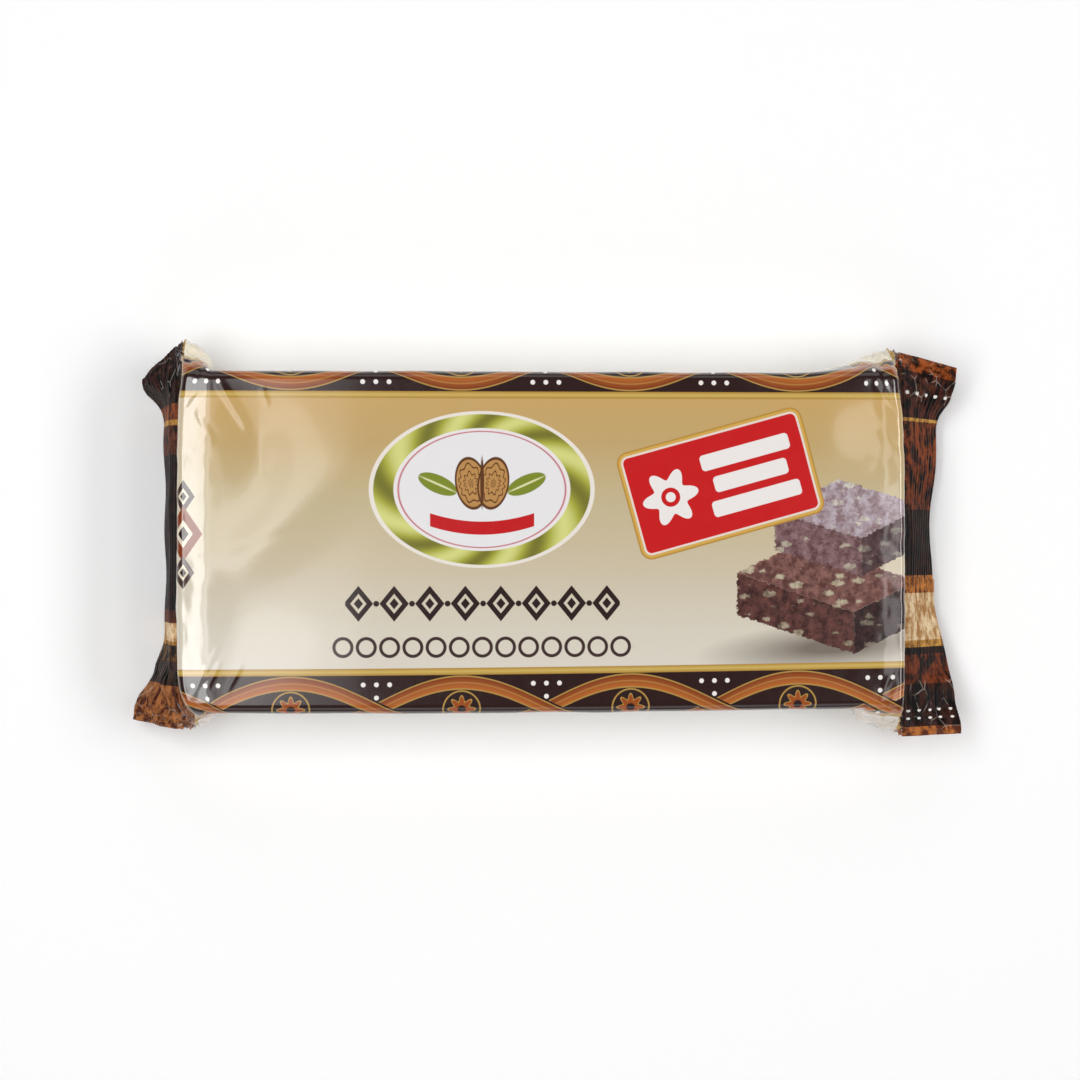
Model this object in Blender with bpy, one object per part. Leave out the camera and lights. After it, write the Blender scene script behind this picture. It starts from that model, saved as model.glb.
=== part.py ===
"""A brick of halva sealed in a flow-wrap film, lying on the seam of its back, in metres, +Z up.

The origin is at the middle of the underside, X runs along the brick and Y across it.
"""

import bpy
import numpy as np

# Brick, in millimetres
LENGTH = 190.0
WIDTH = 88.6
HEIGHT = 28.0
FRONT_BOW = 0.5
BOW_SHIFT = 0.4
LONG_EDGE_RADIUS = 3.2
RADIUS_SHARE = 0.3
END_EDGE_RADIUS = 1.8

# End seals, in millimetres
SEAL_HEIGHT = 15.6
FIN_LENGTH = 15.4
FIN_THICKNESS = 0.8
FIN_EDGE_TAPER = 5.0
PANEL_PULL = 0.3
PANEL_FLARE = 0.8
ARC_SHARE = 0.25
RIB_PITCH = 1.3
RIB_HEIGHT = 0.14
RIBS_FROM = 0.6
RIBS_STOP = 0.3

# Seam of the back, in millimetres
SEAM_NEAR = -10.0
SEAM_FAR = 2.0
SEAM_RELIEF = 0.25
SEAM_STEP = 0.4

# The two ends are -1, at the left, and 1. Lengths are in millimetres, angles in degrees.
# A fin hangs by FIN_DROOP below the horizontal at its middle.
PANEL_LEAN = {-1: 0.9, 1: 1.6}
FIN_BEND_LENGTH = {-1: 2.2, 1: 4.0}
FIN_DROOP = {-1: 82.0, 1: 54.0}
EDGE_FALL = {-1: 0.9, 1: 0.3}
EDGE_FALL_LENGTH = 6.0
CORNER_CUT_LENGTH = 14.0

# The four ears are (end, side), and side -1 is at the front. An ear rises from the fin's
# RISE_DROOP to its own droop over the stretch of the fin from RISE_FROM to RISE_TO.
RISE_DROOP = {(-1, -1): 82.0, (-1, 1): 81.0, (1, -1): 49.0, (1, 1): 44.0}
RISE_FROM = {(-1, -1): 22.0, (-1, 1): 31.0, (1, -1): 14.0, (1, 1): 30.0}
RISE_TO = {(-1, -1): 58.0, (-1, 1): 54.0, (1, -1): 62.0, (1, 1): 54.0}
EAR_DROOP = {(-1, -1): 32.0, (-1, 1): 37.0, (1, -1): -2.0, (1, 1): -8.0}
EAR_TURN = {(-1, -1): 13.0, (-1, 1): 47.0, (1, -1): 3.0, (1, 1): 18.0}
EAR_REACH = {(-1, -1): 4.6, (-1, 1): 6.8, (1, -1): 8.2, (1, 1): 6.0}
GUSSET_LENGTH = {(-1, -1): 7.5, (-1, 1): 7.4, (1, -1): 11.0, (1, 1): 13.0}
GUSSET_REACH = {(-1, -1): 3.8, (-1, 1): 7.4, (1, -1): 6.6, (1, 1): 6.0}
GUSSET_POWER = {(-1, -1): 1.7, (-1, 1): 0.4, (1, -1): 0.3, (1, 1): 0.9}
CORNER_CUT = {(-1, -1): 6.0, (-1, 1): 1.8, (1, -1): 0.5, (1, 1): 2.6}
CORNER_CUT_POWER = {(-1, -1): 14.0, (-1, 1): 5.0, (1, -1): 6.0, (1, 1): 4.0}

# Mesh
FLAT_COLUMNS = 14
FILLET_COLUMNS = 2
SIDE_COLUMNS = 3
BODY_ROWS = 9
GUSSET_ROWS = 7
ARC_ROWS = 3
PANEL_ROWS = 5
ROWS_PER_RIB = 2
BEND_STEPS = 32
SEAM_CLEARANCE = 0.6
SHARP_ANGLE = 0.7
METRES = 0.001


def smooth(t):
    """Rises from 0 to 1 while t does, level at both ends."""
    t = np.clip(t, 0.0, 1.0)
    return t * t * (3.0 - 2.0 * t)


def by_side(table, end, y):
    """The value of the front or of the back ear, by the sign of y."""
    return np.where(y < 0.0, table[end, -1], table[end, 1])


def half_columns():
    """Columns of half a section, from one side crease to the other, as three arrays.

    The first is the place across the flat face, from -1 to 1, the second the place through
    the rounded edge and the third the place down the side, both from 0 to 1.
    """
    half = WIDTH / 2.0
    seam = np.array([SEAM_NEAR, SEAM_NEAR + SEAM_STEP, SEAM_FAR - SEAM_STEP, SEAM_FAR])
    flat = np.linspace(-1.0, 1.0, FLAT_COLUMNS + 1)
    spacing = SEAM_CLEARANCE / FLAT_COLUMNS
    apart = np.abs(flat[:, None] - seam[None, :] / half).min(axis=1) > spacing
    flat = np.sort(np.concatenate([flat[apart], seam / half]))
    edge = np.arange(1, FILLET_COLUMNS + 1) / FILLET_COLUMNS
    side = np.arange(1, SIDE_COLUMNS + 1) / (SIDE_COLUMNS + 1.0)
    after = np.concatenate([edge, np.ones(SIDE_COLUMNS)])
    down = np.concatenate([np.zeros(FILLET_COLUMNS), side])
    across = np.concatenate([-np.ones(len(after)), flat, np.ones(len(after))])
    through = np.concatenate([after[::-1], np.zeros(len(flat)), after])
    fall = np.concatenate([down[::-1], np.zeros(len(flat)), down])
    return across, through, fall


def end_rows(end):
    """Rows from the middle of the pack to the tip of one fin.

    Each row is its distance along the pack, the height of its top, the height of its bottom,
    how far the film has closed from brick to fin, from 0 to 1, and the distance along the fin.
    """
    flat_end = LENGTH / 2.0 - END_EDGE_RADIUS
    gusset = max(GUSSET_LENGTH[end, -1], GUSSET_LENGTH[end, 1])
    body = np.linspace(0.0, flat_end - gusset, BODY_ROWS + 1)
    near = np.linspace(flat_end - gusset, flat_end, GUSSET_ROWS + 1)[1:]
    x = np.concatenate([body, near])
    fall = EDGE_FALL[end] * smooth((x - flat_end + EDGE_FALL_LENGTH) / EDGE_FALL_LENGTH)
    top = HEIGHT - fall
    bottom = np.full(len(x), SEAM_RELIEF)
    closed = np.zeros(len(x))

    turn = np.arange(1, ARC_ROWS + 1) / ARC_ROWS * np.pi / 2.0
    arc_x = flat_end + END_EDGE_RADIUS * np.sin(turn)
    arc_drop = END_EDGE_RADIUS * (1.0 - np.cos(turn))
    t = np.arange(1, PANEL_ROWS + 1) / PANEL_ROWS
    half = FIN_THICKNESS / 2.0
    x0, x2 = LENGTH / 2.0, LENGTH / 2.0 + PANEL_LEAN[end]
    panel_x = bezier(t, x0, x0 + PANEL_PULL, x2)
    top_start = top[-1] - END_EDGE_RADIUS
    bottom_start = bottom[-1] + END_EDGE_RADIUS
    fin_top, fin_bottom = SEAL_HEIGHT + half, SEAL_HEIGHT - half
    panel_top = bezier(t, top_start, fin_top + PANEL_FLARE, fin_top)
    panel_bottom = bezier(t, bottom_start, fin_bottom - PANEL_FLARE, fin_bottom)

    ribs = int(FIN_LENGTH / RIB_PITCH)
    fin = np.arange(1, ribs * ROWS_PER_RIB + 1) * RIB_PITCH / ROWS_PER_RIB
    fin = np.append(fin, FIN_LENGTH)
    along = np.concatenate([x, arc_x, panel_x, np.full(len(fin), x2)])
    flat = np.ones(len(fin))
    top = np.concatenate([top, top[-1] - arc_drop, panel_top, fin_top * flat])
    bottom = np.concatenate([bottom, bottom[-1] + arc_drop, panel_bottom, fin_bottom * flat])
    arc_closed = ARC_SHARE * turn / turn[-1]
    panel_closed = ARC_SHARE + (1.0 - ARC_SHARE) * t
    closed = np.concatenate([closed, arc_closed, panel_closed, flat])
    distance = np.concatenate([np.zeros(len(along) - len(fin)), fin])
    return along, top, bottom, closed, distance


def bezier(t, start, middle, finish):
    """The quadratic curve from start to finish that middle pulls."""
    return (1.0 - t) ** 2 * start + 2.0 * t * (1.0 - t) * middle + t**2 * finish


def half_section(end, rows, columns, upper):
    """Points of the upper or the lower film of one end, as an array of rows and columns."""
    along, top, bottom, closed, distance = (v[:, None] for v in rows)
    across, through, down = (v[None, :] for v in columns)
    side = np.where(across < 0.0, -1.0, 1.0)
    face = (top if upper else bottom) + 0.0 * across
    seal = SEAL_HEIGHT + 0.0 * face
    bow = np.cos(np.pi * np.minimum(along / LENGTH, 0.5)) - BOW_SHIFT
    half = WIDTH / 2.0 + np.where(side < 0.0, FRONT_BOW * bow, 0.0)

    gusset = by_side(GUSSET_REACH, end, side) * smooth_gusset(end, along, side)
    folded = smooth((closed - ARC_SHARE) / (1.0 - ARC_SHARE))
    reach = gusset + (by_side(EAR_REACH, end, side) - gusset) * folded
    corner_y = side * half
    crease_y = side * (half + reach)
    # The rounded edge runs from one point on the flat face to one on the side
    depth = np.abs(face - seal)
    span = np.hypot(depth, reach)
    radius = np.minimum(LONG_EDGE_RADIUS, RADIUS_SHARE * span)
    start_y = corner_y - side * radius
    step = radius / np.maximum(span, 1e-6)
    finish_y = corner_y + (crease_y - corner_y) * step
    finish_z = face + (seal - face) * step
    edge_y = bezier(through, start_y, corner_y, finish_y)
    edge_z = bezier(through, face, face, finish_z)
    # The side runs from the rounded edge to the crease, and a fin keeps its thickness there
    side_y = finish_y + (crease_y - finish_y) * down
    taper = down + (down**FIN_EDGE_TAPER - down) * closed**2
    side_z = finish_z + (seal - finish_z) * taper
    y = np.where(through == 0.0, across * (half - radius), np.where(down > 0.0, side_y, edge_y))
    z = np.where(through == 0.0, face, np.where(down > 0.0, side_z, edge_z))
    return place(end, along, y, z, closed, distance)


def smooth_gusset(end, along, side):
    """How far a gusset has left the side wall, from 0 to 1."""
    length = by_side(GUSSET_LENGTH, end, side)
    left = np.clip((along - LENGTH / 2.0 + length) / length, 0.0, 1.0)
    return left ** by_side(GUSSET_POWER, end, side)


def place(end, along, y, z, closed, distance):
    """Moves the points of a section to their places: rounded corners, bent fin, crimped ribs."""
    share = np.abs(y) / (WIDTH / 2.0)
    near_end = smooth((along - LENGTH / 2.0) / CORNER_CUT_LENGTH + 1.0) * (1.0 - closed)
    cut = np.minimum(share, 1.0) ** by_side(CORNER_CUT_POWER, end, y)
    x = along - by_side(CORNER_CUT, end, y) * cut * near_end

    start, finish = by_side(RISE_FROM, end, y), by_side(RISE_TO, end, y)
    share_up = np.clip((np.abs(y) - start) / (finish - start), 0.0, 1.0)
    rise = smooth(share_up)
    eased = by_side(RISE_DROOP, end, y) - FIN_DROOP[end]
    before = FIN_DROOP[end] + eased * smooth(np.abs(y) / start)
    droop = np.radians(before + (by_side(EAR_DROOP, end, y) - before) * rise)
    turn = np.radians(by_side(EAR_TURN, end, y)) * share_up
    bend = FIN_BEND_LENGTH[end]
    steps = (np.arange(BEND_STEPS) + 0.5)[:, None, None] / BEND_STEPS
    heading = droop * smooth(steps * distance / bend)
    ahead = np.cos(heading).mean(axis=0) * distance
    sunk = np.sin(heading).mean(axis=0) * distance
    slope = droop * smooth(distance / bend)
    rib = RIB_HEIGHT * np.sin(2.0 * np.pi * (distance / RIB_PITCH - 0.25))
    crimped = (distance > RIBS_FROM) & (distance < FIN_LENGTH - RIBS_STOP)
    rib = np.where(crimped, rib, 0.0)
    fin = distance > 0.0
    thick = np.where(fin, z - SEAL_HEIGHT + rib, 0.0)
    x = x + ahead * np.cos(turn) + thick * np.sin(slope)
    y = y - np.sign(y) * ahead * np.sin(turn)
    z = np.where(fin, SEAL_HEIGHT - sunk + thick * np.cos(slope), z)
    return np.stack([end * x, y, z], axis=-1)


def crease(end, rows, side):
    """The line where the upper and the lower film meet at one side of one end."""
    across = np.array([float(side)])
    one = np.ones(1)
    return half_section(end, rows, (across, one, one), True)


def loops():
    """Closed sections from the left fin to the right fin, as an array of rows and columns."""
    columns = half_columns()
    ends = []
    for end in (-1, 1):
        rows = end_rows(end)
        if end == 1:
            rows = tuple(v[1:] for v in rows)
        upper = half_section(end, rows, columns, True)
        lower = half_section(end, rows, columns, False)
        near = crease(end, rows, -1)
        far = crease(end, rows, 1)
        ends.append(np.concatenate([near, upper, far, lower[:, ::-1]], axis=1))
    return np.concatenate([ends[0][::-1], ends[1]], axis=0)


def outward(points):
    """The unit normal at each point of the closed sections."""
    along = np.gradient(points, axis=0)
    around = np.roll(points, -1, axis=1) - np.roll(points, 1, axis=1)
    normal = np.cross(along, around)
    return normal / np.maximum(np.linalg.norm(normal, axis=-1, keepdims=True), 1e-9)


def raise_seam(points):
    """Lifts the seam of the back off the film that it lies on, out to the tips of the fins."""
    count = points.shape[1]
    place_y = points[points.shape[0] // 2, :, 1]
    below = np.arange(count) > count // 2
    inside = (place_y > SEAM_NEAR + SEAM_STEP / 2.0) & (place_y < SEAM_FAR - SEAM_STEP / 2.0)
    lift = np.where(below & inside, SEAM_RELIEF, 0.0)
    return points + outward(points) * lift[None, :, None]


def faces_of(rows, columns):
    """Quads between the sections, and the two closed tips of the fins."""
    faces = []
    for row in range(rows - 1):
        for column in range(columns):
            beside = (column + 1) % columns
            here = row * columns
            there = here + columns
            faces.append((here + column, there + column, there + beside, here + beside))
    half = columns // 2
    for start, turned in ((0, True), ((rows - 1) * columns, False)):
        for step in range(half):
            upper = (start + step, start + step + 1)
            lower = (start + (columns - step) % columns, start + columns - step - 1)
            cap = [upper[0], upper[1], lower[1], lower[0]]
            cap = list(dict.fromkeys(cap))
            faces.append(tuple(cap if turned else cap[::-1]))
    return faces


def film_material():
    """Printed glossy film in its main colour."""
    material = bpy.data.materials.new("printed_film")
    material.use_nodes = True
    shader = material.node_tree.nodes["Principled BSDF"]
    shader.inputs["Base Color"].default_value = (0.58, 0.45, 0.25, 1.0)
    shader.inputs["Roughness"].default_value = 0.25
    return material


def build():
    points = raise_seam(loops())
    faces = faces_of(points.shape[0], points.shape[1])
    mesh = bpy.data.meshes.new("wrapped_brick")
    mesh.from_pydata((points.reshape(-1, 3) * METRES).tolist(), [], faces)
    mesh.update()
    mesh.shade_smooth()
    mesh.set_sharp_from_angle(angle=SHARP_ANGLE)
    mesh.materials.append(film_material())
    pack = bpy.data.objects.new("wrapped_brick", mesh)
    bpy.context.scene.collection.objects.link(pack)


for old in list(bpy.data.objects):
    bpy.data.objects.remove(old)
build()
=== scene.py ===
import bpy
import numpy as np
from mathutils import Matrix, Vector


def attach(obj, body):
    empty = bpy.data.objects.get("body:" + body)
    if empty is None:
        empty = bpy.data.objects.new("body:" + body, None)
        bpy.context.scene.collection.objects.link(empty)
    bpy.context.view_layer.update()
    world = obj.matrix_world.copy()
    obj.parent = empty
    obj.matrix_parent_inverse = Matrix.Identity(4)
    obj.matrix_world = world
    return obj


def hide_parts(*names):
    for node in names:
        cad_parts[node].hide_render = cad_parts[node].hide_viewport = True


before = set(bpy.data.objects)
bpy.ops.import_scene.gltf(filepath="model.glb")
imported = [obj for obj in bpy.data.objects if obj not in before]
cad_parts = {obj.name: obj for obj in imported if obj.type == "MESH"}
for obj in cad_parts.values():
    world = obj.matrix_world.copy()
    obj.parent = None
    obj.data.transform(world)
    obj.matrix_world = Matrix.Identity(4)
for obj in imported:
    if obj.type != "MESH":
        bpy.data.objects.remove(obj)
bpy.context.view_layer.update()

# A brick of halva sealed in a printed flow-wrap film, lying on the seam of its back.
# Sizes are in millimetres until a mesh takes them, and angles in degrees. X runs along the
# pack, Y across it and Z up, with the origin under its middle.


# Camera. It hangs 66 cm over the pack on a boom, 6 cm to the left of the middle, and looks
# almost straight down through an 85 mm lens.
CAMERA_AIM = Vector((-1.6, 0.4, 28.0))
CAMERA_BACK = Vector((-0.088, -0.001, 1.0)).normalized()
CAMERA_DISTANCE = 661.0
CAMERA_ROLL = -0.11
METRES = 0.001

scene = bpy.context.scene
camera_side = Vector((0.0, 1.0, 0.0)).cross(CAMERA_BACK).normalized()
camera_turn = Matrix((camera_side, CAMERA_BACK.cross(camera_side), CAMERA_BACK)).transposed()
camera_turn = camera_turn @ Matrix.Rotation(np.radians(CAMERA_ROLL), 3, "Z")
camera_place = (CAMERA_AIM + CAMERA_BACK * CAMERA_DISTANCE) * METRES
camera_lens = bpy.data.cameras.new("camera")
camera_lens.lens = 85.0
camera_lens.sensor_width = 36.0
camera = bpy.data.objects.new("camera", camera_lens)
camera.matrix_world = Matrix.Translation(camera_place) @ camera_turn.to_4x4()
scene.collection.objects.link(camera)
scene.camera = camera


# Body film. One sheet of glossy polypropylene, printed on its inside, is drawn tight round
# the brick and closed at both ends, where it comes down to the flat seals. It is about
# 0.05 mm thick, so it shows every swell and crease.
LENGTH = 190.0
WIDTH = 88.6
HEIGHT = 28.0
FRONT_BOW = 0.5
BOW_SHIFT = 0.4
LONG_EDGE_RADIUS = 3.2
RADIUS_SHARE = 0.3
END_EDGE_RADIUS = 1.8
SEAL_HEIGHT = 15.6
SEAM_NEAR = -10.0
SEAM_FAR = 2.0
SEAM_MIDDLE = (SEAM_NEAR + SEAM_FAR) / 2.0
SEAM_RELIEF = 0.25

# The two ends are -1, at the left, and 1. A table of four is for the ears: left front, left
# back, right front and right back.
PANEL_LEAN = {-1: 0.9, 1: 1.6}
PANEL_PULL = 0.3
PANEL_FLARE = 0.8
ARC_SHARE = 0.25
EDGE_FALL = {-1: 0.9, 1: 0.3}
EDGE_FALL_LENGTH = {-1: 6.0, 1: 4.0}
EDGE_FALL_SOFTNESS = 0.08
CORNER_CUT_LENGTH = 14.0
CORNER_CUT = (6.0, 1.8, 0.5, 2.6)
CORNER_CUT_POWER = (14.0, 5.0, 6.0, 4.0)
EAR_REACH = (4.6, 6.8, 8.2, 6.0)
GUSSET_LENGTH = (7.5, 7.4, 11.0, 13.0)
GUSSET_REACH = (3.8, 7.4, 6.6, 6.0)
GUSSET_POWER = (1.7, 0.4, 0.3, 0.9)

FLAT_STEPS = 112
FILLET_STEPS = 8
SIDE_STEPS = 20
END_ZONE = 34.0
MIDDLE_STEPS = 38
END_STEPS = 62
ARC_STEPS = 8
PANEL_STEPS = 26


def smooth(t):
    """Rises from 0 to 1 while t does, level at both ends."""
    t = np.clip(t, 0.0, 1.0)
    return t * t * (3.0 - 2.0 * t)


def hinge(t, softness):
    """0 below 0 and then a straight rise to 1 at t = 1, rounded at its foot over softness."""
    t = np.clip(t, 0.0, 1.0)
    return (np.hypot(t, softness) - softness) / (np.hypot(1.0, softness) - softness)


def bezier(t, start, middle, finish):
    """The quadratic curve from start to finish that middle pulls."""
    return (1.0 - t) ** 2 * start + 2.0 * t * (1.0 - t) * middle + t**2 * finish


def by_side(table, end, y):
    """The value of the front or of the back ear of an end, by the sign of y."""
    return np.where(y < 0.0, table[end + 1], table[end + 2])


def half_columns():
    """Columns of half a section between its two side creases.

    They are the place across the flat face, -1 to 1, with one exactly over the seam's middle,
    the place through the rounded edge, 0 to 1, and the place down the side, 0 to 1.
    """
    middle = SEAM_MIDDLE / (WIDTH / 2.0 - LONG_EDGE_RADIUS)
    near_steps = int(round(FLAT_STEPS * (middle + 1.0) / 2.0))
    near = np.linspace(-1.0, middle, near_steps + 1)
    far = np.linspace(middle, 1.0, FLAT_STEPS - near_steps + 1)[1:]
    flat = np.concatenate([near, far])
    edge = np.arange(1, FILLET_STEPS + 1) / FILLET_STEPS
    side = np.arange(1, SIDE_STEPS + 1) / (SIDE_STEPS + 1.0)
    after = np.concatenate([edge, np.ones(SIDE_STEPS)])
    down = np.concatenate([np.zeros(FILLET_STEPS), side])
    ones, zeros = np.ones(len(after)), np.zeros(len(flat))
    across = np.concatenate([-ones, flat, ones])
    through = np.concatenate([after[::-1], zeros, after])
    fall = np.concatenate([down[::-1], zeros, down])
    return (across, through, fall), len(after) + near_steps


def body_rows(end):
    """Rows from the middle of the pack to the seal of one end, each as five numbers.

    They are the distance along the pack, the height of the top, the height of the bottom, how
    far the film has closed from brick to seal, 0 to 1, and the distance along the fin, 0 here.
    """
    flat_end = LENGTH / 2.0 - END_EDGE_RADIUS
    x = np.linspace(0.0, flat_end - END_ZONE, MIDDLE_STEPS + 1)
    x = np.concatenate([x, np.linspace(flat_end - END_ZONE, flat_end, END_STEPS + 1)[1:]])
    fallen = (x - flat_end + EDGE_FALL_LENGTH[end]) / EDGE_FALL_LENGTH[end]
    top = HEIGHT - EDGE_FALL[end] * hinge(fallen, EDGE_FALL_SOFTNESS)
    bottom = np.full(len(x), SEAM_RELIEF)
    turn = np.arange(1, ARC_STEPS + 1) / ARC_STEPS * np.pi / 2.0
    arc_x = flat_end + END_EDGE_RADIUS * np.sin(turn)
    arc_drop = END_EDGE_RADIUS * (1.0 - np.cos(turn))
    t = np.arange(1, PANEL_STEPS + 1) / PANEL_STEPS
    x0, x2 = LENGTH / 2.0, LENGTH / 2.0 + PANEL_LEAN[end]
    seal_top, seal_low = SEAL_HEIGHT + SEAL_THICKNESS / 2.0, SEAL_HEIGHT - SEAL_THICKNESS / 2.0
    panel_x = bezier(t, x0, x0 + PANEL_PULL, x2)
    panel_top = bezier(t, top[-1] - END_EDGE_RADIUS, seal_top + PANEL_FLARE, seal_top)
    panel_low = bezier(t, bottom[-1] + END_EDGE_RADIUS, seal_low - PANEL_FLARE, seal_low)
    closed = np.concatenate([0.0 * x, ARC_SHARE * turn / turn[-1], ARC_SHARE + (1 - ARC_SHARE) * t])
    along = np.concatenate([x, arc_x, panel_x])
    top = np.concatenate([top, top[-1] - arc_drop, panel_top])
    bottom = np.concatenate([bottom, bottom[-1] + arc_drop, panel_low])
    return along, top, bottom, closed, np.zeros(len(along))


def half_section(end, rows, columns, upper):
    """Points of the upper or lower film of one end: flat face, rounded edge, straight side.

    The side runs down to the crease, which leaves the wall as a gusset towards the ear.
    """
    along, top, bottom, closed, distance = (v[:, None] for v in rows)
    across, through, down = (v[None, :] for v in columns)
    side = np.where(across < 0.0, -1.0, 1.0)
    face = (top if upper else bottom) + 0.0 * across
    bow = np.cos(np.pi * np.minimum(along / LENGTH, 0.5)) - BOW_SHIFT
    half = WIDTH / 2.0 + np.where(side < 0.0, FRONT_BOW * bow, 0.0)
    length = by_side(GUSSET_LENGTH, end, side)
    left = np.clip((along - LENGTH / 2.0 + length) / length, 0.0, 1.0)
    gusset = by_side(GUSSET_REACH, end, side) * left ** by_side(GUSSET_POWER, end, side)
    folded = smooth((closed - ARC_SHARE) / (1.0 - ARC_SHARE))
    reach = gusset + (by_side(EAR_REACH, end, side) - gusset) * folded
    corner_y = side * half
    crease_y = side * (half + reach)
    span = np.hypot(np.abs(face - SEAL_HEIGHT), reach)
    radius = np.minimum(LONG_EDGE_RADIUS, RADIUS_SHARE * span)
    start_y = corner_y - side * radius
    step = radius / np.maximum(span, 1e-6)
    finish_y = corner_y + (crease_y - corner_y) * step
    finish_z = face + (SEAL_HEIGHT - face) * step
    edge_y = bezier(through, start_y, corner_y, finish_y)
    edge_z = bezier(through, face, face, finish_z)
    side_y = finish_y + (crease_y - finish_y) * down
    taper = down + (down**SEAL_EDGE_TAPER - down) * closed**2
    side_z = finish_z + (SEAL_HEIGHT - finish_z) * taper
    on_flat, on_side = through == 0.0, down > 0.0
    y = np.where(on_flat, across * (half - radius), np.where(on_side, side_y, edge_y))
    z = np.where(on_flat, face, np.where(on_side, side_z, edge_z))
    return place(end, along, y, z, closed, distance)


# The seals share the film's section, so the sizes that bend them stand here.
SEAL_THICKNESS = 0.36
SEAL_EDGE_TAPER = 5.0
SEAL_LENGTH = 15.4
SEAL_BEND_LENGTH = {-1: 2.2, 1: 4.0}
SEAL_DROOP = {-1: 82.0, 1: 54.0}
SEAL_STEP = {-1: 0.0, 1: 0.65}
RISE_DROOP = (82.0, 81.0, 49.0, 44.0)
RISE_FROM = (22.0, 31.0, 14.0, 30.0)
RISE_TO = (58.0, 54.0, 62.0, 54.0)
EAR_DROOP = (32.0, 37.0, -2.0, -8.0)
EAR_TURN = (13.0, 47.0, 3.0, 18.0)
RIB_PITCH = 1.3
RIB_HEIGHT = 0.09
RIBS_FROM = 0.6
RIBS_STOP = 0.3
BEND_STEPS = 24
CRUMPLE_FROM = (24.0, 30.0, 30.0, 30.0)
CRUMPLE_HEIGHT = (1.3, 0.9, 0.8, 0.8)
CRUMPLE_GROWTH = 16.0
CRUMPLE_SIZE = 9.0
CRUMPLE_SEED = 31
WAVE_HEIGHT = 0.25
WAVE_LENGTH = 23.0
WAVE_SLANT = 9.0
ROOT_FADE = 5.0


def crinkle(a, b, size, seed, waves=7):
    """Sharp folds that cross at random angles, from -1 to 1.

    The mean of triangle waves, each about size long, over coordinates that sines bend.
    """
    draw = np.random.default_rng(seed)
    a = a + 0.35 * size * np.sin(b / size * 1.1 + draw.uniform(0.0, 6.0))
    b = b + 0.35 * size * np.sin(a / size * 0.9 + draw.uniform(0.0, 6.0))
    total = np.zeros_like(a)
    for _ in range(waves):
        angle, long, shift = draw.uniform((0.0, 0.6, 0.0), (np.pi, 1.7, 1.0))
        phase = (np.cos(angle) * a + np.sin(angle) * b) / (size * long) + shift
        total += 4.0 * np.abs(phase - np.floor(phase) - 0.5) - 1.0
    return total / waves**0.5 / 1.2


def seal_crumple(end, y, distance):
    """How far both layers of a fin stand off its smooth bend.

    Long sine waves, plus sharp folds that grow towards the ears; both fade in from the root.
    """
    start = by_side(CRUMPLE_FROM, end, y)
    ear = smooth((np.abs(y) - start) / CRUMPLE_GROWTH) * by_side(CRUMPLE_HEIGHT, end, y)
    folds = crinkle(*np.broadcast_arrays(distance, y), CRUMPLE_SIZE, CRUMPLE_SEED + end)
    phase = 2.0 * np.pi * (y / WAVE_LENGTH + 0.15 * end) + distance / WAVE_SLANT
    return smooth(distance / ROOT_FADE) * (ear * folds + WAVE_HEIGHT * np.sin(phase))


def place(end, along, y, z, closed, distance):
    """Moves the points of a section: cut corners, a fin that hangs and turns, crimped ribs.

    A fin's heading turns down over its first stretch to its droop, which falls off towards the
    ears, and its ribs are a sine wave along it.
    """
    share = np.abs(y) / (WIDTH / 2.0)
    near_end = smooth((along - LENGTH / 2.0) / CORNER_CUT_LENGTH + 1.0) * (1.0 - closed)
    cut = np.minimum(share, 1.0) ** by_side(CORNER_CUT_POWER, end, y)
    x = along - by_side(CORNER_CUT, end, y) * cut * near_end
    if not distance.any():
        return np.stack([end * x, y + 0.0 * x, z + 0.0 * x], axis=-1)
    distance = distance * (1.0 + SEAL_STEP[end] / SEAL_LENGTH * (y < SEAM_NEAR))
    start, finish = by_side(RISE_FROM, end, y), by_side(RISE_TO, end, y)
    share_up = np.clip((np.abs(y) - start) / (finish - start), 0.0, 1.0)
    eased = by_side(RISE_DROOP, end, y) - SEAL_DROOP[end]
    before = SEAL_DROOP[end] + eased * smooth(np.abs(y) / start)
    droop = np.radians(before + (by_side(EAR_DROOP, end, y) - before) * smooth(share_up))
    turn = np.radians(by_side(EAR_TURN, end, y)) * share_up
    bend = SEAL_BEND_LENGTH[end]
    steps = (np.arange(BEND_STEPS) + 0.5)[:, None, None] / BEND_STEPS
    heading = droop * smooth(steps * distance / bend)
    ahead = np.cos(heading).mean(axis=0) * distance
    sunk = np.sin(heading).mean(axis=0) * distance
    slope = droop * smooth(distance / bend)
    crimped = (distance > RIBS_FROM) & (distance < SEAL_LENGTH - RIBS_STOP)
    rib = np.where(crimped, RIB_HEIGHT * np.sin(2.0 * np.pi * (distance / RIB_PITCH - 0.25)), 0.0)
    stand_off = rib + seal_crumple(end, y, distance)
    thick = np.where(distance > 0.0, z - SEAL_HEIGHT + stand_off, 0.0)
    x = x + ahead * np.cos(turn) + thick * np.sin(slope)
    y = y - np.sign(y) * ahead * np.sin(turn)
    z = np.where(distance > 0.0, SEAL_HEIGHT - sunk + thick * np.cos(slope), z)
    return np.stack([end * x, y, z], axis=-1)


def rings(end, rows):
    """Closed sections that start and finish at the seam's middle, going up the front side."""
    columns, seam = half_columns()
    upper = half_section(end, rows, columns, True)
    lower = half_section(end, rows, columns, False)
    folds = []
    for side in (-1.0, 1.0):
        crease = (np.array([side]), np.ones(1), np.ones(1))
        folds.append(half_section(end, rows, crease, True))
    front, back = lower[:, seam::-1], lower[:, : seam - 1 : -1]
    return np.concatenate([front, folds[0], upper, folds[1], back], axis=1)


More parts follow.
